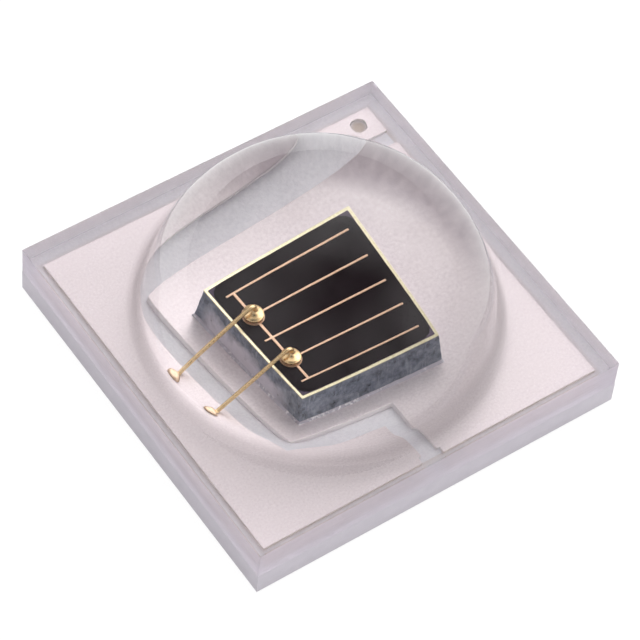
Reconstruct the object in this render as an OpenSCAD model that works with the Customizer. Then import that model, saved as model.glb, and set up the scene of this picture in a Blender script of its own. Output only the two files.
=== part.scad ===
// High-power infrared LED in a square ceramic surface-mount package.
// Millimetres. Origin at the centre of the solder plane, +Z up through the lens,
// +X towards the pad that carries the chip, -X towards the pad that takes the bond wires.

/* [Package] */
// Side of the square package
package_w = 3.45; // [3.3:0.05:4.2]

/* [Ceramic substrate] */
// Thickness of the ceramic plate
ceramic_t = 0.22; // [0.15:0.01:0.6]
// Diameter of the filled vias
via_d = 0.15; // [0.08:0.01:0.24]
// Distance between the vias of one side
via_pitch = 0.95; // [0.5:0.05:1]

/* [Top pads] */
// Thickness of the plated pads on top
top_pad_t = 0.04; // [0.02:0.005:0.1]
// Bare ceramic left between the top pads and the edge of the package
top_pad_margin = 0.125; // [0.08:0.005:0.16]
// Radius of the outer corners of the top pads
top_pad_corner_r = 0.03; // [0.01:0.005:0.06]
// Metal left round the chip on its island, on average
island_rim = 0.2; // [0.16:0.01:0.26]
// Width of the bare gap round the island
gap_w = 0.17; // [0.1:0.01:0.2]
// Width of the bare channels that part the two pads
channel_w = 0.14; // [0.08:0.01:0.18]
// Distance of the riser channel from the pads' outer edge, to its centre
riser_inset = 0.55; // [0.5:0.01:0.6]
// Distance of the exit channel from the pads' outer edge, to its centre
exit_inset = 0.365; // [0.34:0.005:0.4]
// Diameter of the round polarity mark
mark_d = 0.15; // [0.08:0.01:0.17]
// Distance of the polarity mark from the pads' right edge, to its centre
mark_inset_x = 0.18; // [0.15:0.01:0.22]
// Distance of the polarity mark from the pads' far edge, to its centre
mark_inset_y = 0.13; // [0.12:0.01:0.16]
// Depth of the nicks that the plating bars leave beside the front channel
nick_w = 0.03; // [0.01:0.005:0.05]

/* [Chip] */
// Side of the square chip
die_w = 1.02; // [0.8:0.01:1.15]
// How far the chip sits off the centre of the package, along X
die_x = -0.023; // [-0.05:0.001:0.05]
// How far the chip sits off the centre of the package, along Y
die_y = -0.068; // [-0.08:0.001:0.08]
// Thickness of the chip's carrier
die_t = 0.22; // [0.1:0.01:0.3]
// Thickness of the solder under the chip
attach_t = 0.02; // [0.01:0.005:0.05]
// How far the solder spreads past the chip
attach_rim = 0.02; // [0.01:0.01:0.08]
// Thickness of the gold bond layer on the carrier
bond_metal_t = 0.008; // [0.004:0.001:0.02]
// Width of the gold rim that the mesa leaves bare
gold_rim = 0.02; // [0.01:0.002:0.05]
// Thickness of the emitter mesa
mesa_t = 0.008; // [0.004:0.001:0.02]
// Radius of the corners of the mesa's upper step, above the square ledge
mesa_corner_r = 0.1; // [0.02:0.01:0.15]

/* [Contact grid] */
// Thickness of the contact metal
grid_t = 0.006; // [0.004:0.001:0.02]
// Number of contact fingers
finger_count = 5; // [4:1:7]
// Width of a finger
finger_w = 0.014; // [0.01:0.002:0.03]
// Width of the busbar
busbar_w = 0.018; // [0.012:0.002:0.03]
// Distance of the outer fingers from the mesa's sides, to their centres
finger_side = 0.103; // [0.08:0.001:0.13]
// Bare mesa left beyond the fingers' free ends
finger_end = 0.06; // [0.02:0.005:0.08]
// Bare mesa left behind the outer fingers' other ends
finger_back = 0.06; // [0.04:0.005:0.08]
// Distance of the busbar from the mesa's side, to its centre
busbar_inset = 0.116; // [0.1:0.002:0.14]
// Diameter of the bond pads
bond_pad_d = 0.145; // [0.14:0.005:0.16]

/* [Bond wires] */
// Diameter of the gold wire
wire_d = 0.028; // [0.018:0.002:0.04]
// Diameter of the ball on the chip
ball_d = 0.135; // [0.1:0.005:0.14]
// Height of the squashed ball
ball_h = 0.035; // [0.02:0.005:0.05]
// Height over which the ball narrows to the wire
neck_h = 0.035; // [0.025:0.005:0.05]
// Radius of the bend above the ball
bend_r = 0.03; // [0.025:0.005:0.05]
// Radius of the curve in which the wire lands on the pad
landing_r = 0.06; // [0.04:0.01:0.1]
// Distance from the gap round the island to the middle of the stitch bump
stitch_inset = 0.16; // [0.14:0.01:0.2]
// How much further to the back of the package a stitch lies than its ball
stitch_shift = 0.031; // [-0.06:0.001:0.06]
// Length of the flattened stitch
stitch_l = 0.05; // [0.035:0.005:0.06]
// Width of the flattened stitch
stitch_w = 0.056; // [0.04:0.002:0.07]
// Thickness of the flattened stitch
stitch_t = 0.014; // [0.01:0.001:0.02]
// Diameter of the bump that locks the stitch
bump_d = 0.12; // [0.1:0.005:0.14]
// Height of the bump
bump_h = 0.046; // [0.04:0.002:0.06]

/* [Lens] */
// Thickness of the square flange over the ceramic
flange_t = 0.28; // [0.22:0.01:0.4]
// Radius of the dome
lens_r = 1.44; // [1.3:0.01:1.46]
// How far the dome's centre lies below the top of the flange
lens_drop = 0.08; // [0.02:0.01:0.2]
// Radius of the hollow fillet at the foot of the dome
lens_foot_r = 0.13; // [0.05:0.01:0.16]

/* [Solder pads] */
// Thickness of the solder pads
solder_pad_t = 0.04; // [0.02:0.005:0.1]
// Bare ceramic left between the solder pads and the edge of the package
solder_margin = 0.125; // [0.08:0.005:0.2]
// Width of the two outer solder pads
side_pad_w = 0.5; // [0.4:0.01:0.6]
// Width of the thermal pad in the middle
thermal_pad_w = 1.3; // [0.8:0.05:1.6]
// Radius of the solder pads' corners
solder_corner_r = 0.05; // [0.02:0.01:0.1]
// Size of the corner cut that marks the cathode pad
cathode_cut = 0.2; // [0.1:0.01:0.3]

/* [Hidden] */
VIAS_PER_SIDE = 3;
VIA_ROWS = [1:VIAS_PER_SIDE];
$fn = 64;

// Heights of the stack, from the solder plane up
ceramic_z = solder_pad_t;
top_pad_z = ceramic_z + ceramic_t;
attach_z = top_pad_z + top_pad_t;
die_z = attach_z + attach_t;
bond_metal_z = die_z + die_t;
mesa_z = bond_metal_z + bond_metal_t;
ledge_t = mesa_t / 2;
grid_z = mesa_z + mesa_t;
ball_z = grid_z + grid_t;
flange_z = top_pad_z + flange_t;
lens_z = flange_z - lens_drop;

// Half sizes in plan
top_pad_half = package_w / 2 - top_pad_margin;
solder_half = package_w / 2 - solder_margin;
island_half = die_w / 2 + island_rim;
gap_half = island_half + gap_w;
mesa_w = die_w - 2 * gold_rim;
mesa_half = mesa_w / 2;

// Channels between the two top pads
channel_half = channel_w / 2;
riser_x = top_pad_half - riser_inset;
exit_y = top_pad_half - exit_inset;

// Solder pads and the vias above them
side_pad_x = solder_half - side_pad_w / 2;

// Contact grid and bond places
busbar_x = -mesa_half + busbar_inset;
finger_span = mesa_w - 2 * finger_side;
finger_pitch = finger_span / (finger_count - 1);
finger_from = -mesa_half + finger_back;
finger_to = mesa_half - finger_end;
bond_y = finger_span / 2 - finger_pitch;

// Foot of the dome: centre of the fillet, and where it meets the dome
foot_x = sqrt(pow(lens_r + lens_foot_r, 2) - pow(lens_foot_r + lens_drop, 2));
foot_angle = atan2(lens_foot_r + lens_drop, foot_x);

// Where a bond wire starts, and how it runs to the middle of its bump, seen from above
ball_x = die_x + busbar_x;
wire_reach = ball_x + gap_half + stitch_inset;
wire_run = norm([wire_reach, stitch_shift]);
wire_turn = -atan2(stitch_shift, wire_reach);

// Bond wire in its own upright plane, with the ball at zero: the bend above the ball and the
// landing on the pad, joined by the straight line that touches both curves
bend_z = ball_z + ball_h + neck_h;
bend_centre = [-bend_r, bend_z];
stitch_z = attach_z + stitch_t / 4;
stitch_x = stitch_l - wire_run;
landing_centre = [stitch_x, stitch_z + landing_r];
curve_gap = bend_centre - landing_centre;
descent = atan2(curve_gap.y, curve_gap.x) + asin((bend_r + landing_r) / norm(curve_gap));

// Number of points round a wire, and of steps along its ball, bend, landing and stitch
WIRE_SIDES = 12;
BALL_STEPS = 6;
BEND_STEPS = 6;
LANDING_STEPS = 3;
STITCH_STEPS = 3;
// How square the squashed ball is in side view, and how much narrower its flat ends are
BALL_POWER = 2.4;
BALL_END = 0.3;

// Rounded rectangle about the origin
module rounded_square(w, l, r) {
    square([w - 2 * r, l], center = true);
    square([w, l - 2 * r], center = true);
    for (x = [-1, 1], y = [-1, 1])
        translate([x * (w / 2 - r), y * (l / 2 - r)])
            circle(r);
}

// Outline of the two top pads together
module top_pad_outline() {
    rounded_square(2 * top_pad_half, 2 * top_pad_half, top_pad_corner_r);
}

// Nicks beside the mouth of the front channel, where plating bars were cut
module plating_nicks() {
    nick_span = 2 * (channel_half + nick_w);
    translate([0, -top_pad_half + nick_w])
        square([nick_span, 2 * nick_w], center = true);
}

// The pad half that carries the chip, with the island that reaches under it
module die_pad() {
    inner = [
        [channel_half, -top_pad_half],
        [channel_half, -island_half],
        [-island_half, -island_half],
        [-island_half, island_half],
        [riser_x + channel_half, island_half],
        [riser_x + channel_half, exit_y - channel_half],
        [top_pad_half, exit_y - channel_half],
        [top_pad_half, -top_pad_half]
    ];
    color("lavenderblush")
        translate([0, 0, top_pad_z])
            linear_extrude(top_pad_t)
                difference() {
                    intersection() {
                        top_pad_outline();
                        polygon(inner);
                    }
                    plating_nicks();
                }
}

// The pad half that goes round the island and takes the bond wires
module wire_pad() {
    outer = [
        [-channel_half, -top_pad_half],
        [-channel_half, -gap_half],
        [-gap_half, -gap_half],
        [-gap_half, gap_half],
        [riser_x - channel_half, gap_half],
        [riser_x - channel_half, exit_y + channel_half],
        [top_pad_half, exit_y + channel_half],
        [top_pad_half, top_pad_half],
        [-top_pad_half, top_pad_half],
        [-top_pad_half, -top_pad_half]
    ];
    color("lavenderblush")
        translate([0, 0, top_pad_z])
            linear_extrude(top_pad_t)
                difference() {
                    intersection() {
                        top_pad_outline();
                        polygon(outer);
                    }
                    plating_nicks();
                    translate([top_pad_half - mark_inset_x, top_pad_half - mark_inset_y])
                        circle(d = mark_d);
                }
}

// One filled via: side is -1 under the wire pad and 1 under the die pad
module via(side, row) {
    translate([side * side_pad_x, (row - (VIAS_PER_SIDE + 1) / 2) * via_pitch, ceramic_z])
        cylinder(d = via_d, h = ceramic_t);
}

module cathode_via(row) {
    color("peru") via(-1, row);
}

module anode_via(row) {
    color("peru") via(1, row);
}

module ceramic_substrate() {
    color("gainsboro")
        difference() {
            translate([-package_w / 2, -package_w / 2, ceramic_z])
                cube([package_w, package_w, ceramic_t]);
            for (side = [-1, 1], row = VIA_ROWS)
                via(side, row);
        }
}

// Rounded solder pad of width w, centred at x
module solder_pad(x, w) {
    linear_extrude(solder_pad_t)
        translate([x, 0])
            rounded_square(w, 2 * solder_half, solder_corner_r);
}

module cathode_pad() {
    color("gold")
        difference() {
            solder_pad(-side_pad_x, side_pad_w);
            translate([-solder_half, solder_half, solder_pad_t / 2])
                rotate(45)
                    cube([cathode_cut * sqrt(2), cathode_cut * sqrt(2), 2 * solder_pad_t], center = true);
        }
}

module anode_pad() {
    color("gold") solder_pad(side_pad_x, side_pad_w);
}

module thermal_pad() {
    color("gold") solder_pad(0, thermal_pad_w);
}

// Puts what is drawn about the chip's centre in the chip's place
module on_chip(z) {
    translate([die_x, die_y, z])
        children();
}

// Square layer of the chip stack
module chip_layer(z, w, t) {
    on_chip(z)
        translate([-w / 2, -w / 2, 0])
            cube([w, w, t]);
}

// Solder that creeps out from under the chip and slopes down to the pad
module die_attach() {
    base_half = die_w / 2 + attach_rim;
    top_half = die_w / 2;
    color("dimgray")
        on_chip(attach_z)
            polyhedron(
                points = [for (level = [[base_half, 0], [top_half, attach_t]])
                    for (c = [[-1, -1], [1, -1], [1, 1], [-1, 1]])
                        [c.x * level[0], c.y * level[0], level[1]]],
                faces = [[0, 1, 2, 3], [7, 6, 5, 4], [0, 4, 5, 1], [1, 5, 6, 2], [2, 6, 7, 3], [3, 7, 4, 0]]
            );
}

module led_die() {
    color("darkslategray") chip_layer(die_z, die_w, die_t);
}

module bond_metal() {
    color("goldenrod") chip_layer(bond_metal_z, die_w, bond_metal_t);
}

// Square ledge with the round-cornered mesa on it
module emitter_mesa() {
    color([0.17, 0.12, 0.16])
        on_chip(mesa_z) {
            linear_extrude(ledge_t)
                square(mesa_w, center = true);
            linear_extrude(mesa_t)
                rounded_square(mesa_w, mesa_w, mesa_corner_r);
        }
}

// Fingers across the mesa, the busbar that joins them and the two bond pads.
// The fingers under the bond pads start there, the others reach past the busbar.
module contact_grid() {
    color("darksalmon")
        on_chip(grid_z)
            linear_extrude(grid_t) {
                for (i = [0:finger_count - 1]) {
                    y = -finger_span / 2 + i * finger_pitch;
                    from = abs(abs(y) - bond_y) < finger_w ? busbar_x : finger_from;
                    translate([from, y - finger_w / 2])
                        square([finger_to - from, finger_w]);
                }
                translate([busbar_x - busbar_w / 2, -finger_span / 2 - finger_w / 2])
                    square([busbar_w, finger_span + finger_w]);
                for (side = [-1, 1])
                    translate([busbar_x, side * bond_y])
                        circle(d = bond_pad_d);
            }
}

// A ring of the wire is [centre x, centre z, slope of the path, half width, half thickness].
// Slope 90 runs up, slope 180 runs level towards -X.
function ball_ring(t) =
    let (r = ball_d / 2 * (1 - BALL_END * pow(abs(2 * t - 1), BALL_POWER)))
    [0, ball_z + t * ball_h, 90, r, r];

function bend_ring(t) =
    let (turn = t * (90 + descent))
    [bend_centre.x + bend_r * cos(turn), bend_centre.y + bend_r * sin(turn), 90 + turn,
     wire_d / 2, wire_d / 2];

function landing_ring(t) =
    let (turn = (1 - t) * descent)
    [landing_centre.x + landing_r * sin(turn), landing_centre.y - landing_r * cos(turn), 180 + turn,
     wire_d / 2 + t * (stitch_w - wire_d) / 4, wire_d / 2 + t * (stitch_t - wire_d) / 4];

function stitch_ring(t) =
    let (flat = 0.5 + t / 2)
    [stitch_x - t * stitch_l, stitch_z, 180,
     wire_d / 2 + flat * (stitch_w - wire_d) / 2, wire_d / 2 + flat * (stitch_t - wire_d) / 2];

function wire_rings() = concat(
    [for (i = [0:BALL_STEPS]) ball_ring(i / BALL_STEPS)],
    [for (i = [0:BEND_STEPS]) bend_ring(i / BEND_STEPS)],
    [for (i = [0:LANDING_STEPS]) landing_ring(i / LANDING_STEPS)],
    [for (i = [1:STITCH_STEPS]) stitch_ring(i / STITCH_STEPS)]
);

// Points of one ring, flattened where they would pass into the pad
function ring_points(ring) =
    [for (i = [0:WIRE_SIDES - 1])
        let (
            a = i * 360 / WIRE_SIDES,
            across = ring[3] * cos(a),
            out = ring[4] * sin(a)
        )
        [ring[0] + out * sin(ring[2]), across, max(ring[1] - out * cos(ring[2]), attach_z)]];

// Puts a wire or its bump in place: side is 1 for the back bond pad and -1 for the front one
module on_bond_pad(side) {
    translate([ball_x, die_y + side * bond_y])
        rotate(wire_turn)
            children();
}

// Drawn gold wire: ball, neck, bend, straight run and flattened stitch in one piece
module bond_wire(side) {
    rings = wire_rings();
    count = len(rings);
    color("goldenrod")
        on_bond_pad(side)
            polyhedron(
                points = [for (ring = rings) each ring_points(ring)],
                faces = concat(
                    [[for (i = [WIRE_SIDES - 1:-1:0]) i]],
                    [[for (i = [0:WIRE_SIDES - 1]) (count - 1) * WIRE_SIDES + i]],
                    [for (k = [0:count - 2], i = [0:WIRE_SIDES - 1])
                        let (j = (i + 1) % WIRE_SIDES, a = k * WIRE_SIDES, b = a + WIRE_SIDES)
                        each [[a + i, b + j, b + i], [a + i, a + j, b + j]]]
                )
            );
}

// Cap of gold pressed over the end of a stitch. The sphere's seam is turned away from the wire.
module stitch_bump(side) {
    cap_r = (pow(bump_d / 2, 2) + pow(bump_h, 2)) / (2 * bump_h);
    color("gold")
        difference() {
            on_bond_pad(side)
                translate([-wire_run, 0, attach_z])
                    intersection() {
                        translate([0, 0, bump_h - cap_r])
                            rotate(180)
                                sphere(cap_r);
                        translate([-bump_d, -bump_d, 0])
                            cube([2 * bump_d, 2 * bump_d, 2 * bump_h]);
                    }
            bond_wire(side);
        }
}

// Everything that the silicone is moulded over
module sealed_pieces() {
    wire_pad();
    die_pad();
    die_attach();
    led_die();
    bond_metal();
    emitter_mesa();
    contact_grid();
    for (side = [-1, 1]) {
        bond_wire(side);
        stitch_bump(side);
    }
}

// Half section of the dome above the flange, with its hollow foot
module dome_section() {
    intersection() {
        translate([0, lens_z])
            circle(lens_r);
        translate([0, flange_z])
            square([lens_r, lens_r]);
    }
    difference() {
        polygon([
            [0, flange_z],
            [foot_x, flange_z],
            [lens_r * cos(foot_angle), lens_z + lens_r * sin(foot_angle)],
            [0, lens_z + lens_r * sin(foot_angle)]
        ]);
        translate([foot_x, flange_z + lens_foot_r])
            circle(lens_foot_r);
    }
}

// Dome, foot and square flange, moulded in one over the ceramic and all that it carries
module silicone_lens() {
    color([0.86, 0.88, 0.95, 0.35])
        difference() {
            union() {
                translate([-package_w / 2, -package_w / 2, top_pad_z])
                    cube([package_w, package_w, flange_t]);
                rotate_extrude($fn = 128)
                    dome_section();
            }
            sealed_pieces();
        }
}

cathode_pad();
anode_pad();
thermal_pad();
ceramic_substrate();
wire_pad();
die_pad();
die_attach();
led_die();
bond_metal();
emitter_mesa();
contact_grid();
bond_wire(1);  // bond_wire_1
bond_wire(-1);  // bond_wire_2
stitch_bump(1);  // stitch_bump_1
stitch_bump(-1);  // stitch_bump_2
silicone_lens();
for (i = VIA_ROWS) cathode_via(i);
for (i = VIA_ROWS) anode_via(i);
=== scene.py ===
"""Looks of a high-power infrared LED: a chip with gold wires in a ceramic package, under a clear silicone dome.

Shapes are worked out in millimetres, in the frame of the CAD model, and turned into metres when they become meshes.
"""

import math

import bmesh
import bpy
from mathutils import Matrix, Vector, noise


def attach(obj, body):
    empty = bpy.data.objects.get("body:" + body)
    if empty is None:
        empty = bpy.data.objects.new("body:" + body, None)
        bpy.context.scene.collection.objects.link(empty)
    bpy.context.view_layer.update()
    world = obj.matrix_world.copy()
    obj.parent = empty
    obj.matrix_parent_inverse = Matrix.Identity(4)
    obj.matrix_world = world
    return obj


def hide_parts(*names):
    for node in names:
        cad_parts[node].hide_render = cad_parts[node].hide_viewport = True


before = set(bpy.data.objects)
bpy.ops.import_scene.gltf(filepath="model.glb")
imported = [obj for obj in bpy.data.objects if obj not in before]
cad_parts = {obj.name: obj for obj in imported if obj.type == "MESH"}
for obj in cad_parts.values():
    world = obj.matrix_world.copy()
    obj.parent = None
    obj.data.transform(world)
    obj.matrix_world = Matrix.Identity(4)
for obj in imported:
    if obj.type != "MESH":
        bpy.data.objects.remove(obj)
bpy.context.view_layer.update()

MM = 0.001
UP = Vector((0, 0, 1))

# Sizes in millimetres, as in the CAD model
PACKAGE_HALF = 1.725
CERAMIC_LOW, CERAMIC_TOP, PAD_TOP, FLANGE_TOP = 0.04, 0.26, 0.30, 0.54
PAD_HALF, ISLAND_HALF, GAP_HALF = 1.6, 0.71, 0.88
MARK_PLACE, MARK_R = (1.42, 1.47), 0.075
# Middle of the painted dome shadow on the plating
DOME_SHADOW_PLACE = (0.8, 0.6, PAD_TOP)
CHIP_X, CHIP_Y, CHIP_HALF = -0.023, -0.068, 0.51
CHIP_LOW, CHIP_TOP, RIM_TOP, LEDGE_TOP, MESA_TOP, GRID_TOP = 0.32, 0.54, 0.548, 0.552, 0.556, 0.562
MESA_HALF, MESA_CORNER = 0.49, 0.1
FINGER_PITCH, FINGER_HALF_W, FINGER_END = 0.1935, 0.0065, 0.43
BUSBAR_X, BUSBAR_HALF_W, BOND_PAD_R = -0.374, 0.009, 0.0725
WIRE_R, BALL_R, BALL_H, NECK_H, BEND_R, LANDING_R = 0.014, 0.0675, 0.035, 0.035, 0.03, 0.06
STITCH_L, STITCH_W, STITCH_T, STITCH_INSET, STITCH_SHIFT = 0.05, 0.056, 0.014, 0.16, 0.031
BUMP_R, BUMP_H = 0.06, 0.046
DOME_Z, DOME_R, FOOT_R = 0.46, 1.44, 0.13

# The floor is a hair higher than the undersides of the pads, so that no two faces lie in one plane
FLOOR_Z = 0.002

# Where the bond wires start, and how they run to their bumps, seen from above
BALL_X = CHIP_X + BUSBAR_X
WIRE_REACH = BALL_X + GAP_HALF + STITCH_INSET
WIRE_RUN = math.hypot(WIRE_REACH, STITCH_SHIFT)
WIRE_TURN = -math.atan2(STITCH_SHIFT, WIRE_REACH)

# Camera of the photograph: where it looks, from where, and its focal length for a 640 pixel frame
CAMERA_TARGET = Vector((-0.073, -0.117, 0.54))
CAMERA_DISTANCE = 27.41
CAMERA_AZIMUTH, CAMERA_ELEVATION, CAMERA_ROLL = -39.43, 53.30, 6.29
FOCAL_PIXELS, FRAME_PIXELS, SENSOR = 3433.8, 640, 36

# Soft lights of the tent as azimuth from +X, elevation, half angle and level. Angles are in degrees.
# The last one shines from below, for views of the underside, and the floor keeps it from all else.
TENT_LIGHTS = [
    (20, 60, 38, 1.15),
    (92, 60, 38, 0.9),
    (164, 60, 38, 0.45),
    (0, 24, 38, 1.05),
    (36, 24, 38, 0.85),
    (144, 24, 38, 0.5),
    (180, 24, 38, 0.45),
    (216, 24, 38, 0.35),
    (252, 24, 38, 0.3),
    (288, 24, 38, 0.5),
    (324, 24, 38, 0.75),
    (-50, 15, 22, 0.25),
    (-25, 15, 22, 0.4),
    (0, 15, 22, 0.45),
    (-25, 32, 22, 0.3),
    (0, 32, 22, 0.6),
    (25, 32, 22, 0.8),
    (50, 32, 22, 0.5),
    (0, 49, 22, 0.45),
    (25, 49, 22, 0.6),
    (50, 49, 22, 0.8),
    (0, -90, 38, 1.2),
]


# Meshes


def piece(name, mesh, node, place=Matrix()):
    """Puts a mesh in millimetres in its place, as a piece in metres that rides on the part for a CAD node."""
    mesh.transform(Matrix.Scale(MM, 4) @ place)
    mesh.validate()
    obj = bpy.data.objects.new(name, mesh)
    bpy.context.scene.collection.objects.link(obj)
    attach(obj, "root")
    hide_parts(node)


def new_mesh(name, points, faces, finishes=(), smooth=True):
    """Mesh from points and faces, with its finishes in order."""
    mesh = bpy.data.meshes.new(name)
    mesh.from_pydata([tuple(p) for p in points], [], faces)
    for finish in finishes:
        mesh.materials.append(finish)
    mesh.polygons.foreach_set("use_smooth", [smooth] * len(mesh.polygons))
    return mesh


def ring_faces(rings, sides, first=0):
    """Quads between rings of equal length, one ring after the other, each closed on itself."""
    return [
        (
            first + k * sides + i,
            first + k * sides + (i + 1) % sides,
            first + (k + 1) * sides + (i + 1) % sides,
            first + (k + 1) * sides + i,
        )
        for k in range(rings - 1)
        for i in range(sides)
    ]


def wavy(point, size, seed):
    """Smooth random number between about -1 and 1 that changes over lengths of this size."""
    return noise.noise(Vector(point) / size + Vector((seed, 7 * seed, -3 * seed)))


def outline(corners, radius=0.012, wander=0.002, step=0.025, seed=1.0):
    """Closed outline through corners that it rounds off. It wanders a little, as etched or plated edges do."""
    places = []
    corners = [Vector(c) for c in corners]
    for before, corner, after in zip(corners[-1:] + corners[:-1], corners, corners[1:] + corners[:1]):
        start = corner + (before - corner).normalized() * radius
        end = corner + (after - corner).normalized() * radius
        places += [start.lerp(corner, t).lerp(corner.lerp(end, t), t) for t in (0, 0.25, 0.5, 0.75, 1)]
        last = after + (corner - after).normalized() * radius
        count = max(1, round((last - end).length / step))
        places += [end.lerp(last, i / count) for i in range(1, count)]
    return [
        p + wander * Vector((wavy((p.x, p.y, 0), 0.07, seed), wavy((p.x, p.y, 0), 0.07, seed + 5)))
        for p in places
    ]


def circle(centre, radius, sides=48):
    """Closed outline of a circle."""
    turns = [math.tau * i / sides for i in range(sides)]
    return [Vector((centre[0] + radius * math.cos(t), centre[1] + radius * math.sin(t))) for t in turns]


def plate(name, loops, low, high, edge, finishes):
    """Flat mesh between two heights, with soft edges. An outline inside another one is a hole."""
    curve = bpy.data.curves.new(name, "CURVE")
    curve.dimensions = "2D"
    curve.fill_mode = "BOTH"
    curve.extrude = (high - low) / 2 - edge
    curve.bevel_depth = edge
    curve.bevel_resolution = 2
    curve.offset = -edge
    for loop in loops:
        spline = curve.splines.new("POLY")
        spline.points.add(len(loop) - 1)
        for point, place in zip(spline.points, loop):
            point.co = (place.x, place.y, 0, 1)
        spline.use_cyclic_u = True
    holder = bpy.data.objects.new(name, curve)
    bpy.context.scene.collection.objects.link(holder)
    shown = holder.evaluated_get(bpy.context.evaluated_depsgraph_get())
    mesh = bpy.data.meshes.new_from_object(shown)
    bpy.data.objects.remove(holder)
    bpy.data.curves.remove(curve)
    mesh.transform(Matrix.Translation((0, 0, (low + high) / 2)))
    mesh.materials.clear()
    for finish in finishes:
        mesh.materials.append(finish)
    for polygon in mesh.polygons:
        polygon.use_smooth = abs(polygon.normal.z) < 0.99
    mesh.set_sharp_from_angle(angle=math.radians(35))
    return mesh


def lens_mesh(clear, diced):
    """Dome, hollow foot and square flange in one closed skin, which ends just inside the ceramic's top face."""
    edge_r, side_steps, corner_steps = 0.008, 64, 4
    corner = PACKAGE_HALF - edge_r
    square = []
    for quarter in range(4):
        turn = Matrix.Rotation(quarter * math.pi / 2, 2)
        for i in range(side_steps):
            square.append(turn @ Vector((PACKAGE_HALF, -corner + 2 * corner * (i + 0.5) / side_steps)))
        for i in range(corner_steps + 1):
            a = i / corner_steps * math.pi / 2
            square.append(turn @ Vector((corner + edge_r * math.cos(a), corner + edge_r * math.sin(a))))
    sides = len(square)

    # Section of the dome and its foot, with rings that close up towards the pole
    foot_x = math.sqrt((DOME_R + FOOT_R) ** 2 - (FOOT_R + FLANGE_TOP - DOME_Z) ** 2)
    foot_turn = math.atan2(FOOT_R + FLANGE_TOP - DOME_Z, foot_x)
    dome_steps, foot_steps = 110, 16
    profile = []
    for i in range(1, dome_steps + 1):
        a = math.pi / 2 + (foot_turn - math.pi / 2) * (i / dome_steps) ** 1.5
        profile.append((DOME_R * math.cos(a), DOME_Z + DOME_R * math.sin(a)))
    for i in range(1, foot_steps + 1):
        a = math.pi + foot_turn + (math.pi / 2 - foot_turn) * i / foot_steps
        profile.append((foot_x + FOOT_R * math.cos(a), FLANGE_TOP + FOOT_R + FOOT_R * math.sin(a)))

    # Rim of the flange as inset and height, down to a lip that lies sunk in the ceramic
    rim = [(2 * edge_r, FLANGE_TOP)]
    for i in range(6):
        a = i / 5 * math.pi / 2
        rim.append((edge_r * (1 - math.sin(a)), FLANGE_TOP - edge_r * (1 - math.cos(a))))
    rim += [(0, CERAMIC_TOP + 0.0005), (0.006, CERAMIC_TOP - 0.01)]

    points = [Vector((0, 0, DOME_Z + DOME_R))]
    for radius, z in profile:
        points += [Vector((*(radius * p.normalized()), z)) for p in square]
    for inset, z in rim:
        points += [Vector((*(p * (1 - inset / PACKAGE_HALF)), z)) for p in square]
    rings = len(profile) + len(rim)
    faces = [(0, 1 + i, 1 + (i + 1) % sides) for i in range(sides)]
    faces += ring_faces(rings, sides, 1)
    faces.append(tuple(reversed(range(1 + (rings - 1) * sides, 1 + rings * sides))))
    mesh = new_mesh("lens", points, faces, (clear, diced))
    mesh.flip_normals()
    for polygon in mesh.polygons:
        polygon.material_index = 1 if abs(polygon.normal.z) < 0.3 and polygon.center.z < FLANGE_TOP else 0
    mesh.set_sharp_from_angle(angle=math.radians(30))
    return mesh


# Finishes


def add_node(tree, kind, inputs=(), **settings):
    """New node with its settings, whose inputs are set to values or linked to sockets."""
    node = tree.nodes.new(kind)
    for key, value in settings.items():
        setattr(node, key, value)
    for key, value in dict(inputs).items():
        if isinstance(value, bpy.types.NodeSocket):
            tree.links.new(value, node.inputs[key])
        else:
            node.inputs[key].default_value = value
    return node


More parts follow.
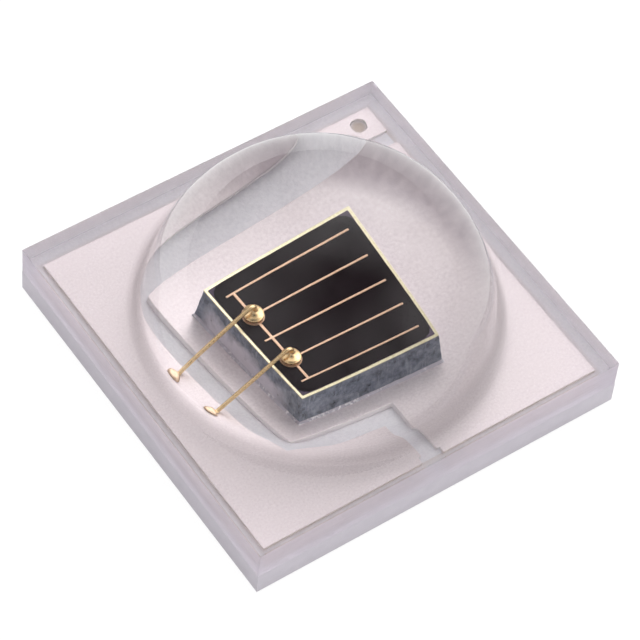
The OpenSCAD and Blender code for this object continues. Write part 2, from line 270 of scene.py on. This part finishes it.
class Finish:
    """One material under construction, with short calls for what the finishes share. Lengths are in millimetres."""

    def __init__(self, name):
        self.material = bpy.data.materials.new(name)
        self.material.use_nodes = True
        self.tree = self.material.node_tree
        self.tree.nodes.clear()
        self.output = self.node("ShaderNodeOutputMaterial")
        place = self.node("ShaderNodeTexCoord").outputs["Object"]
        self.place = self.node("ShaderNodeVectorMath", {0: place, "Scale": 1 / MM}, operation="SCALE").outputs[0]

    def node(self, kind, inputs=(), **settings):
        """New node with its settings, whose inputs are set or linked."""
        return add_node(self.tree, kind, inputs, **settings)

    def noise(self, size, detail=4.0, rough=0.55, stretch=(1, 1, 1)):
        """Noise whose spots are about this size, drawn out along the axes by stretch."""
        scaled = self.node("ShaderNodeVectorMath", {0: self.place, 1: stretch}, operation="DIVIDE").outputs[0]
        return self.node(
            "ShaderNodeTexNoise", {"Vector": scaled, "Scale": 1 / size, "Detail": detail, "Roughness": rough}
        ).outputs["Fac"]

    def cells(self, size, feature="F1"):
        """Distance pattern of random cells about this size."""
        return self.node("ShaderNodeTexVoronoi", {"Vector": self.place, "Scale": 1 / size}, feature=feature).outputs[
            "Distance"
        ]

    def math(self, operation, a, b=0.0, clamp=False):
        """Sum, product or other result of two numbers."""
        return self.node("ShaderNodeMath", {0: a, 1: b}, operation=operation, use_clamp=clamp).outputs[0]

    def ramp(self, value, low, high, start=0.0, end=1.0):
        """Value taken from low..high to start..end, and held at both ends."""
        return self.node(
            "ShaderNodeMapRange",
            {"Value": value, "From Min": low, "From Max": high, "To Min": start, "To Max": end},
        ).outputs["Result"]

    def mix(self, share, a, b):
        """Colour a where share is 0 and b where it is 1."""
        a, b = (c if isinstance(c, bpy.types.NodeSocket) else (*c, 1) for c in (a, b))
        return self.node("ShaderNodeMix", {0: share, 6: a, 7: b}, data_type="RGBA").outputs[2]

    def height(self, value, depth, under=None):
        """Normal bent by a height pattern of this depth in millimetres."""
        inputs = {"Height": value, "Distance": depth * MM}
        if under is not None:
            inputs["Normal"] = under
        return self.node("ShaderNodeBump", inputs).outputs["Normal"]

    def facing(self, axis):
        """How far the surface faces along an axis, 0 to 1, either way."""
        normal = self.node("ShaderNodeNewGeometry").outputs["True Normal"]
        parts = self.node("ShaderNodeSeparateXYZ", {0: normal}).outputs
        return self.math("ABSOLUTE", parts[axis])

    def product(self, *shares):
        """Product of two or more numbers."""
        result = shares[0]
        for share in shares[1:]:
            result = self.math("MULTIPLY", result, share)
        return result

    def coordinates(self):
        """The place as x, y and z."""
        return tuple(self.node("ShaderNodeSeparateXYZ", {0: self.place}).outputs)

    def outer(self):
        """Distance from the middle of the package to the side of the square that passes through the place."""
        x, y, _ = self.coordinates()
        return self.math("MAXIMUM", self.math("ABSOLUTE", x), self.math("ABSOLUTE", y))

    def distance(self, centre):
        """Distance of the place from a point."""
        return self.node("ShaderNodeVectorMath", {0: self.place, 1: centre}, operation="DISTANCE").outputs["Value"]

    def surface(self, **inputs):
        """Principled surface as the material's output. Underscores in names stand for spaces."""
        values = {key.replace("_", " "): value for key, value in inputs.items()}
        for key, value in values.items():
            if isinstance(value, tuple) and len(value) == 3:
                values[key] = (*value, 1)
        shader = self.node("ShaderNodeBsdfPrincipled", values)
        self.tree.links.new(shader.outputs[0], self.output.inputs["Surface"])
        return self.material


def clear_silicone():
    f = Finish("clear_silicone")
    smears = f.noise(0.5, detail=3)
    return f.surface(
        Base_Color=(1, 1, 1),
        Roughness=f.ramp(smears, 0.55, 0.8, 0.0, 0.04),
        IOR=1.41,
        Transmission_Weight=1.0,
        Normal=f.height(f.noise(0.3, detail=1), 0.0004),
    )


def diced_silicone():
    f = Finish("diced_silicone")
    cuts = f.noise(0.02, detail=3, stretch=(12, 12, 1))
    colour = f.mix(f.noise(0.12), (0.85, 0.80, 0.89), (0.94, 0.89, 0.97))
    return f.surface(
        Base_Color=colour,
        Roughness=0.6,
        IOR=1.41,
        Transmission_Weight=0.6,
        Normal=f.height(cuts, 0.004),
    )


def ceramic():
    f = Finish("white_ceramic")
    grain = f.noise(0.018, detail=5, rough=0.65)
    clouds = f.noise(0.25, detail=3)
    colour = f.mix(f.ramp(grain, 0.35, 0.68), (0.82, 0.79, 0.84), (0.94, 0.91, 0.95))
    colour = f.mix(f.ramp(clouds, 0.35, 0.7, 0, 0.35), colour, (0.86, 0.87, 0.91))
    # Brown spot on the ceramic at the bottom of the polarity mark, darkest in its middle
    spot = f.distance((*MARK_PLACE, CERAMIC_TOP))
    colour = f.mix(f.ramp(spot, 1.2 * MARK_R, 0.5 * MARK_R, 0, 0.8), colour, (0.52, 0.40, 0.30))
    # Painted shadow: a faint brown shade on the ceramic beside the outer edges of the pads
    pad_edge_painted_shadow = f.product(
        f.ramp(f.outer(), PAD_HALF + 0.05, PAD_HALF),
        f.ramp(f.outer(), PAD_HALF - 0.02, PAD_HALF - 0.01, 0, 0.5),
        f.facing(2),
    )
    colour = f.mix(pad_edge_painted_shadow, colour, (0.62, 0.53, 0.50))
    # The diced sides are a little darker than the faces
    sides = f.mix(f.noise(0.12), (0.70, 0.67, 0.735), (0.80, 0.765, 0.83))
    colour = f.mix(f.ramp(f.facing(2), 0.5, 0.4), colour, sides)
    cuts = f.noise(0.02, detail=3, stretch=(12, 12, 1))
    relief = f.node("ShaderNodeMix", {0: f.facing(2), 2: cuts, 3: grain}, data_type="FLOAT").outputs[0]
    return f.surface(Base_Color=colour, Roughness=0.62, Normal=f.height(relief, 0.003))


def plating():
    f = Finish("bright_plating")
    grain = f.noise(0.02, detail=4, rough=0.7)
    clouds = f.noise(0.2, detail=3)
    top = f.mix(f.ramp(grain, 0.35, 0.65), (0.78, 0.69, 0.71), (0.92, 0.835, 0.85))
    top = f.mix(f.ramp(clouds, 0.4, 0.75, 0, 0.5), top, (0.85, 0.76, 0.77))
    # Painted shadow: a darker, mottled patch on the pad under the far side of the dome, where the dome's shadow falls
    painted_dome_shadow = f.product(
        f.ramp(f.distance(DOME_SHADOW_PLACE), 0.85, 0.5),
        f.ramp(f.distance((0, 0, PAD_TOP)), 0.84, 0.93),
        f.ramp(f.noise(0.06), 0.3, 0.65, 0.65, 1.0),
    )
    top = f.mix(painted_dome_shadow, top, (0.53, 0.45, 0.49))
    # The etched sides are dull, with a pale colour painted on as light to lift the shade they stand in, and the outer
    # ones show tarnished copper
    copper = f.mix(f.noise(0.05), (0.70, 0.60, 0.55), (0.82, 0.73, 0.68))
    side = f.mix(f.ramp(f.outer(), PAD_HALF - 0.03, PAD_HALF - 0.02), (0.95, 0.90, 0.90), copper)
    etched = f.ramp(f.facing(2), 0.75, 0.45)
    return f.surface(
        Base_Color=f.mix(etched, top, side),
        Metallic=f.ramp(etched, 0, 1, 0.4, 0.1),
        Roughness=f.ramp(grain, 0.3, 0.7, 0.4, 0.5),
        Normal=f.height(grain, 0.001),
    )


def gold_flash():
    f = Finish("gold_flash")
    grain = f.noise(0.02, detail=4, rough=0.65)
    clouds = f.noise(0.3, detail=2)
    colour = f.mix(f.ramp(grain, 0.35, 0.65), (0.72, 0.52, 0.24), (0.90, 0.70, 0.36))
    colour = f.mix(f.ramp(clouds, 0.4, 0.7, 0, 0.4), colour, (0.86, 0.60, 0.30))
    return f.surface(
        Base_Color=colour,
        Metallic=0.9,
        Roughness=f.ramp(grain, 0.3, 0.7, 0.3, 0.46),
        Normal=f.height(grain, 0.003),
    )


def solder():
    f = Finish("dull_solder")
    flecks = f.product(f.ramp(f.noise(0.02, detail=5), 0.5, 0.62), f.ramp(f.noise(0.12, detail=2), 0.4, 0.6))
    return f.surface(
        Base_Color=f.mix(flecks, (0.56, 0.53, 0.59), (0.96, 0.93, 0.95)),
        Metallic=0.5,
        Roughness=f.ramp(flecks, 0, 1, 0.6, 0.35),
        Normal=f.height(flecks, 0.004),
    )


def sawn_chip():
    f = Finish("sawn_chip")
    blotch = f.noise(0.06, detail=5, rough=0.65)
    streaks = f.noise(0.02, detail=3, stretch=(1, 1, 5))
    colour = f.mix(f.ramp(blotch, 0.35, 0.68), (0.085, 0.10, 0.13), (0.30, 0.34, 0.41))
    colour = f.mix(f.ramp(streaks, 0.55, 0.72, 0, 0.5), colour, (0.42, 0.47, 0.54))
    # The lower half of the side towards the wires is paler
    _, y, z = f.coordinates()
    level = f.math("ADD", z, f.ramp(f.noise(0.1, detail=3), 0.3, 0.7, -0.04, 0.04))
    pale = f.product(
        f.ramp(level, CHIP_TOP - 0.06, CHIP_TOP - 0.15),
        f.ramp(y, CHIP_Y - 0.4, CHIP_Y - 0.2),
        f.ramp(y, CHIP_Y + 0.47, CHIP_Y + 0.38),
        f.ramp(f.facing(0), 0.5, 0.7, 0, 0.85),
    )
    return f.surface(
        Base_Color=f.mix(pale, colour, (0.76, 0.72, 0.79)),
        Metallic=f.ramp(pale, 0, 1, 0.7, 0.2),
        Roughness=f.ramp(blotch, 0.3, 0.7, 0.26, 0.42),
        Normal=f.height(blotch, 0.004),
    )


def chip_gold():
    f = Finish("chip_gold")
    grain = f.noise(0.012, detail=4)
    return f.surface(
        Base_Color=f.mix(f.ramp(grain, 0.35, 0.65), (0.68, 0.60, 0.38), (0.84, 0.78, 0.57)),
        Metallic=0.7,
        Roughness=f.ramp(grain, 0.3, 0.7, 0.3, 0.45),
        Normal=f.height(grain, 0.001),
    )


def semiconductor(name, low, high):
    f = Finish(name)
    clouds = f.noise(0.25, detail=3)
    return f.surface(
        Base_Color=f.mix(f.ramp(clouds, 0.35, 0.7), low, high),
        Roughness=f.ramp(clouds, 0.3, 0.7, 0.26, 0.36),
        Specular_IOR_Level=0.05,
    )


def contact_film():
    f = Finish("contact_film")
    grain = f.noise(0.01, detail=4)
    return f.surface(
        Base_Color=f.mix(f.ramp(grain, 0.35, 0.65), (0.56, 0.34, 0.22), (0.80, 0.56, 0.40)),
        Metallic=0.5,
        Roughness=f.ramp(grain, 0.3, 0.7, 0.35, 0.5),
        Normal=f.height(grain, 0.001),
    )


def drawn_gold():
    f = Finish("drawn_gold")
    grain = f.noise(0.006, detail=4, stretch=(10, 1, 1))
    return f.surface(
        Base_Color=f.mix(f.ramp(grain, 0.35, 0.65), (0.86, 0.58, 0.28), (0.97, 0.73, 0.42)),
        Metallic=1.0,
        Roughness=f.ramp(grain, 0.3, 0.7, 0.24, 0.34),
        Normal=f.height(grain, 0.0002),
    )


def pressed_gold():
    f = Finish("pressed_gold")
    grain = f.noise(0.02, detail=4)
    return f.surface(
        Base_Color=f.mix(f.ramp(grain, 0.35, 0.65), (0.74, 0.53, 0.35), (0.90, 0.70, 0.52)),
        Metallic=0.8,
        Roughness=f.ramp(grain, 0.3, 0.7, 0.38, 0.5),
        Normal=f.height(grain, 0.001),
    )


def via_copper():
    f = Finish("via_copper")
    grain = f.noise(0.015, detail=4)
    return f.surface(
        Base_Color=f.mix(grain, (0.45, 0.20, 0.10), (0.80, 0.45, 0.28)),
        Metallic=1.0,
        Roughness=f.ramp(grain, 0.3, 0.7, 0.3, 0.5),
    )


SILICONE, DICED, CERAMIC, PLATING, GOLD_FLASH = clear_silicone(), diced_silicone(), ceramic(), plating(), gold_flash()
SOLDER, CHIP, CHIP_GOLD, FILM = solder(), sawn_chip(), chip_gold(), contact_film()
MESA = semiconductor("dark_semiconductor", (0.008, 0.003, 0.005), (0.014, 0.008, 0.011))
LEDGE = semiconductor("ledge_semiconductor", (0.10, 0.075, 0.11), (0.14, 0.105, 0.15))
WIRE_GOLD, BUMP_GOLD, VIA = drawn_gold(), pressed_gold(), via_copper()


# Pieces

CAD_FINISHES = {
    "cathode_pad": GOLD_FLASH,
    "anode_pad": GOLD_FLASH,
    "thermal_pad": GOLD_FLASH,
    "ceramic_substrate": CERAMIC,
    "wire_pad": PLATING,
    "die_pad": PLATING,
    "die_attach": SOLDER,
    "led_die": CHIP,
    "bond_metal": CHIP_GOLD,
    "emitter_mesa": MESA,
    "contact_grid": FILM,
    "bond_wire_1": WIRE_GOLD,
    "bond_wire_2": WIRE_GOLD,
    "stitch_bump_1": BUMP_GOLD,
    "stitch_bump_2": BUMP_GOLD,
    "silicone_lens": SILICONE,
}
for name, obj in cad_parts.items():
    obj.data.materials.clear()
    obj.data.materials.append(CAD_FINISHES.get(name, VIA))


def top_pad_meshes():
    """The two plated halves of the top metal, cut as in the CAD model, and the hole that marks the polarity."""
    channel, nick, riser_x, exit_y = 0.07, 0.03, 1.05, 1.235
    chip_half = [
        (channel + nick, -PAD_HALF),
        (channel + nick, 2 * nick - PAD_HALF),
        (channel, 2 * nick - PAD_HALF),
        (channel, -ISLAND_HALF),
        (-ISLAND_HALF, -ISLAND_HALF),
        (-ISLAND_HALF, ISLAND_HALF),
        (riser_x + channel, ISLAND_HALF),
        (riser_x + channel, exit_y - channel),
        (PAD_HALF, exit_y - channel),
        (PAD_HALF, -PAD_HALF),
    ]
    wire_half = [
        (-channel - nick, -PAD_HALF),
        (-channel - nick, 2 * nick - PAD_HALF),
        (-channel, 2 * nick - PAD_HALF),
        (-channel, -GAP_HALF),
        (-GAP_HALF, -GAP_HALF),
        (-GAP_HALF, GAP_HALF),
        (riser_x - channel, GAP_HALF),
        (riser_x - channel, exit_y + channel),
        (PAD_HALF, exit_y + channel),
        (PAD_HALF, PAD_HALF),
        (-PAD_HALF, PAD_HALF),
        (-PAD_HALF, -PAD_HALF),
    ]
    mark = outline(circle(MARK_PLACE, MARK_R, 10), 0.01, wander=0.012)
    chip_side = plate("chip_side", [outline(chip_half)], CERAMIC_TOP, PAD_TOP, 0.005, [PLATING])
    wire_side = plate("wire_side", [outline(wire_half, seed=3.0), mark], CERAMIC_TOP, PAD_TOP, 0.005, [PLATING])
    return chip_side, wire_side


def grid_mesh():
    """Busbar with its fingers, and the two bond pads. Fingers between the bond pads stick out behind the busbar."""
    front, back, half_w = BUSBAR_X + BUSBAR_HALF_W, BUSBAR_X - BUSBAR_HALF_W, FINGER_HALF_W
    rows = [FINGER_PITCH * i for i in (-2, -1, 0, 1, 2)]
    comb = []
    for y in rows:
        comb += [(front, y - half_w), (FINGER_END, y - half_w), (FINGER_END, y + half_w), (front, y + half_w)]
    for y in (rows[4], rows[2], rows[0]):
        comb += [(back, y + half_w), (-FINGER_END, y + half_w), (-FINGER_END, y - half_w), (back, y - half_w)]
    # The outermost fingers run straight across the busbar's ends, so those four corners drop out
    ends = (rows[0] - half_w, rows[4] + half_w)
    comb = [(x, y) for x, y in comb if not (y in ends and x in (front, back))]
    film = [plate("comb", [outline(comb, 0.003, wander=0.0008)], MESA_TOP, GRID_TOP - 0.0005, 0.001, [FILM])]
    for y in (rows[1], rows[3]):
        film.append(plate("bond_pad", [circle((BUSBAR_X, y), BOND_PAD_R)], MESA_TOP, GRID_TOP, 0.001, [FILM]))
    return joined("contact_grid", film)


def square_plate(name, half, corner, low, high, edge, finish):
    """Square layer of the chip with softened corners and edges."""
    corners = [(-half, -half), (half, -half), (half, half), (-half, half)]
    return plate(name, [outline(corners, corner, wander=0.0012)], low, high, edge, [finish])


def joined(name, meshes):
    """One mesh from several, each of which keeps its own finish."""
    whole = bmesh.new()
    result = bpy.data.meshes.new(name)
    for mesh in meshes:
        first = len(whole.faces)
        whole.from_mesh(mesh)
        whole.faces.ensure_lookup_table()
        if mesh.materials[0] not in list(result.materials):
            result.materials.append(mesh.materials[0])
        for face in whole.faces[first:]:
            face.material_index = list(result.materials).index(mesh.materials[0])
    whole.to_mesh(result)
    whole.free()
    result.set_sharp_from_angle(angle=math.radians(35))
    return result


def broken_block(name, levels, roughness, finish, seed, across=56):
    """Square block from levels of half width and height, whose sides are rough from sawing and breaking."""
    points = []
    for half, z in levels:
        for quarter in range(4):
            turn = Matrix.Rotation(quarter * math.pi / 2, 2)
            for i in range(across):
                p = turn @ Vector((half, -half + 2 * half * i / across))
                dent = abs(wavy((p.x, p.y, z), 0.045, seed)) + 0.6 * abs(wavy((p.x, p.y, z), 0.014, seed + 2))
                points.append(Vector((*(p * (1 - roughness * dent / half)), z)))
    sides = 4 * across
    faces = ring_faces(len(levels), sides)
    faces.append(tuple(reversed(range(sides))))
    faces.append(tuple(range((len(levels) - 1) * sides, len(levels) * sides)))
    mesh = new_mesh(name, points, faces, [finish])
    mesh.set_sharp_from_angle(angle=math.radians(50))
    return mesh


def closed_tube(name, rings, sides, finish):
    """Smooth closed skin through rings of points, with flat ends that face out."""
    last = (len(rings) - 1) * sides
    faces = ring_faces(len(rings), sides)
    faces += [tuple(reversed(range(sides))), tuple(range(last, last + sides))]
    mesh = new_mesh(name, [p for ring in rings for p in ring], faces, [finish])
    mesh.set_sharp_from_angle(angle=math.radians(60))
    return mesh


def wire_mesh():
    """Drawn gold wire, its ball at zero: squashed ball, neck, bend, straight run and flattened stitch."""
    bend = Vector((-BEND_R, GRID_TOP + BALL_H + NECK_H))
    stitch_x, stitch_z = STITCH_L - WIRE_RUN, PAD_TOP + STITCH_T / 4
    landing = Vector((stitch_x, stitch_z + LANDING_R))
    apart = bend - landing
    slope = math.atan2(apart.y, apart.x) + math.asin((BEND_R + LANDING_R) / apart.length)
    up = math.pi / 2
    ball_steps, neck_steps, bend_steps, landing_steps, stitch_steps, sides = 16, 8, 16, 12, 8, 24

    # Each place on the wire is x, z, direction of the path, half width and half thickness
    places = []
    for i in range(ball_steps + 1):
        t = i / ball_steps
        r = BALL_R * (1 - 0.3 * abs(2 * t - 1) ** 2.4)
        places.append((0, GRID_TOP + t * BALL_H, up, r, r))
    for i in range(1, neck_steps + 1):
        t = i / neck_steps
        r = WIRE_R + (0.7 * BALL_R - WIRE_R) * (1 - t) ** 3
        places.append((0, GRID_TOP + BALL_H + t * NECK_H, up, r, r))
    for i in range(1, bend_steps + 1):
        turn = i / bend_steps * (up + slope)
        x, z = bend.x + BEND_R * math.cos(turn), bend.y + BEND_R * math.sin(turn)
        places.append((x, z, up + turn, WIRE_R, WIRE_R))
    for i in range(landing_steps + 1):
        t = i / landing_steps
        turn = (1 - t) * slope
        wide, thick = WIRE_R + t * (STITCH_W / 2 - WIRE_R) / 2, WIRE_R + t * (STITCH_T / 2 - WIRE_R) / 2
        x, z = landing.x + LANDING_R * math.sin(turn), landing.y - LANDING_R * math.cos(turn)
        places.append((x, z, math.pi + turn, wide, thick))
    for i in range(1, stitch_steps + 1):
        t = i / stitch_steps
        share = 0.5 + t / 2
        wide, thick = WIRE_R + share * (STITCH_W / 2 - WIRE_R), WIRE_R + share * (STITCH_T / 2 - WIRE_R)
        places.append((stitch_x - t * STITCH_L, stitch_z, math.pi, wide, thick))

    rings = []
    for x, z, path, wide, thick in places:
        ring = []
        for i in range(sides):
            a = math.tau * i / sides
            out = thick * math.sin(a)
            low = max(z - out * math.cos(path), PAD_TOP)
            ring.append(Vector((x + out * math.sin(path), wide * math.cos(a), low)))
        rings.append(ring)
    return closed_tube("bond_wire", rings, sides, WIRE_GOLD)


def bump_mesh(seed):
    """Ball of gold pressed over the end of a stitch, with a soft dent where the tool pushed."""
    profile = [(0.72, 0.0), (0.9, 0.07), (0.98, 0.2), (1.0, 0.34), (0.97, 0.5), (0.9, 0.66), (0.8, 0.79)]
    profile += [(0.68, 0.88), (0.55, 0.93), (0.42, 0.94), (0.3, 0.92), (0.18, 0.9), (0.07, 0.89)]
    sides = 32
    rings = []
    for share, rise in profile:
        ring = []
        for i in range(sides):
            a = math.tau * i / sides
            swell = 1 + 0.07 * wavy((math.cos(a), math.sin(a), rise), 0.8, seed)
            lift = 1 + 0.06 * wavy((share * math.cos(a), share * math.sin(a), 3), 0.6, seed)
            r = BUMP_R * share * min(swell, 1.0)
            ring.append(Vector((r * math.cos(a), r * math.sin(a), PAD_TOP + BUMP_H * rise * lift)))
        rings.append(ring)
    return closed_tube("stitch_bump", rings, sides, BUMP_GOLD)


def solder_pad_mesh(x, half_w, cut=0.0):
    """One solder pad of the underside, rounded at its corners, with one corner cut off where cut is given."""
    corners = [(x - half_w, -PAD_HALF), (x + half_w, -PAD_HALF), (x + half_w, PAD_HALF)]
    corners += [(x - half_w + cut, PAD_HALF), (x - half_w, PAD_HALF - cut)] if cut else [(x - half_w, PAD_HALF)]
    return plate("solder_pad", [outline(corners, 0.04, wander=0.0015, seed=x + 2)], 0, CERAMIC_LOW, 0.006, [GOLD_FLASH])


chip_side_pad, wire_side_pad = top_pad_meshes()
chip_steps = 14
chip_levels = [
    (CHIP_HALF - 0.0005, CHIP_LOW + (CHIP_TOP - CHIP_LOW) * i / chip_steps) for i in range(chip_steps + 1)
]
solder_levels = [(0.521, PAD_TOP), (0.519, 0.304), (0.514, 0.309), (0.511, 0.315), (CHIP_HALF, CHIP_LOW)]
dark_mesa = joined("dark_mesa", [
    square_plate("ledge", MESA_HALF, 0.006, RIM_TOP, LEDGE_TOP, 0.001, LEDGE),
    square_plate("mesa", MESA_HALF - 0.001, MESA_CORNER, RIM_TOP, MESA_TOP, 0.001, MESA),
])
gold_rim = square_plate("gold_rim", CHIP_HALF, 0.006, CHIP_TOP, RIM_TOP, 0.002, CHIP_GOLD)
chip_place = Matrix.Translation((CHIP_X, CHIP_Y, 0))

piece("Lens", lens_mesh(SILICONE, DICED), "silicone_lens")
piece("Chip_side_pad", chip_side_pad, "die_pad")
piece("Wire_side_pad", wire_side_pad, "wire_pad")
piece("Chip_solder", broken_block("solder", solder_levels, 0.006, SOLDER, 5.0), "die_attach", chip_place)
piece("Chip_block", broken_block("chip", chip_levels, 0.004, CHIP, 1.0), "led_die", chip_place)
piece("Gold_rim", gold_rim, "bond_metal", chip_place)
piece("Dark_mesa", dark_mesa, "emitter_mesa", chip_place)
piece("Contact_comb", grid_mesh(), "contact_grid", chip_place)
for number, side in ((1, 1), (2, -1)):
    ball_place = Matrix.Translation((BALL_X, CHIP_Y + side * FINGER_PITCH, 0)) @ Matrix.Rotation(WIRE_TURN, 4, "Z")
    bump_place = ball_place @ Matrix.Translation((-WIRE_RUN, 0, 0))
    piece(f"Gold_wire_{number}", wire_mesh(), f"bond_wire_{number}", ball_place)
    piece(f"Gold_bump_{number}", bump_mesh(number), f"stitch_bump_{number}", bump_place)
piece("Cathode_solder_pad", solder_pad_mesh(-1.35, 0.25, cut=0.2), "cathode_pad")
piece("Thermal_solder_pad", solder_pad_mesh(0, 0.65), "thermal_pad")
piece("Anode_solder_pad", solder_pad_mesh(1.35, 0.25), "anode_pad")


# Studio


def studio_world():
    """Light tent of soft lights, with plain white where the camera looks past the part."""
    world = bpy.data.worlds.new("tent")
    bpy.context.scene.world = world
    world.use_nodes = True
    tree = world.node_tree
    tree.nodes.clear()
    way = add_node(tree, "ShaderNodeTexCoord").outputs["Generated"]
    total = 0.0
    for azimuth, elevation, spread, level in TENT_LIGHTS:
        turn, lift = math.radians(azimuth), math.radians(elevation)
        towards = (math.cos(turn) * math.cos(lift), math.sin(turn) * math.cos(lift), math.sin(lift))
        lean = add_node(tree, "ShaderNodeVectorMath", {0: way, 1: towards}, operation="DOT_PRODUCT").outputs["Value"]
        inputs = {"Value": lean, "From Min": math.cos(math.radians(spread)), "To Max": level}
        near = add_node(tree, "ShaderNodeMapRange", inputs, interpolation_type="SMOOTHSTEP").outputs["Result"]
        total = add_node(tree, "ShaderNodeMath", {0: near, 1: total}, operation="ADD").outputs[0]
    sky = add_node(tree, "ShaderNodeBackground", {"Color": (1, 0.985, 0.99, 1), "Strength": total}).outputs[0]
    backdrop = add_node(tree, "ShaderNodeBackground", {"Color": (1, 1, 1, 1)}).outputs[0]
    seen = add_node(tree, "ShaderNodeLightPath").outputs["Is Camera Ray"]
    both = add_node(tree, "ShaderNodeMixShader", {0: seen, 1: sky, 2: backdrop}).outputs[0]
    add_node(tree, "ShaderNodeOutputWorld", {"Surface": both})


def studio_floor():
    """Pale floor that looks white to the camera, takes the part's shadow and can't be seen from below."""
    f = Finish("floor")
    path = f.node("ShaderNodeLightPath")
    seen = f.math("MAXIMUM", path.outputs["Is Camera Ray"], path.outputs["Is Transmission Ray"])
    seen = f.math("MAXIMUM", seen, path.outputs["Is Glossy Ray"])
    paper = f.node("ShaderNodeBsdfDiffuse", {"Color": (0.88, 0.88, 0.88, 1)})
    glow = f.node("ShaderNodeEmission", {"Color": (1, 1, 1, 1), "Strength": 1.1})
    top = f.node("ShaderNodeMixShader", {0: f.math("MULTIPLY", seen, 0.85), 1: paper.outputs[0], 2: glow.outputs[0]})
    below = f.node("ShaderNodeNewGeometry").outputs["Backfacing"]
    clear = f.node("ShaderNodeBsdfTransparent")
    both = f.node("ShaderNodeMixShader", {0: below, 1: top.outputs[0], 2: clear.outputs[0]})
    f.tree.links.new(both.outputs[0], f.output.inputs["Surface"])
    reach = 400
    corners = [(x, y, FLOOR_Z) for x, y in ((-reach, -reach), (reach, -reach), (reach, reach), (-reach, reach))]
    mesh = new_mesh("floor", corners, [(0, 1, 2, 3)], (f.material,), smooth=False)
    mesh.transform(Matrix.Scale(MM, 4))
    floor = bpy.data.objects.new("floor", mesh)
    bpy.context.scene.collection.objects.link(floor)


def camera():
    """Camera at the photograph's viewing angle."""
    azimuth, elevation, roll = (math.radians(a) for a in (CAMERA_AZIMUTH, CAMERA_ELEVATION, CAMERA_ROLL))
    back = Vector(
        (math.sin(azimuth) * math.cos(elevation), -math.cos(azimuth) * math.cos(elevation), math.sin(elevation))
    )
    right = UP.cross(back).normalized()
    up = back.cross(right)
    x_axis = right * math.cos(roll) + up * math.sin(roll)
    y_axis = up * math.cos(roll) - right * math.sin(roll)
    turn = Matrix((x_axis, y_axis, back)).transposed().to_4x4()
    data = bpy.data.cameras.new("camera")
    data.sensor_width = SENSOR
    data.lens = FOCAL_PIXELS / FRAME_PIXELS * SENSOR
    data.clip_start = 1 * MM
    data.clip_end = 10
    obj = bpy.data.objects.new("camera", data)
    obj.matrix_world = Matrix.Translation((CAMERA_TARGET + back * CAMERA_DISTANCE) * MM) @ turn
    bpy.context.scene.collection.objects.link(obj)
    bpy.context.scene.camera = obj


studio_world()
studio_floor()
camera()
bpy.context.scene.view_settings.view_transform = "Standard"
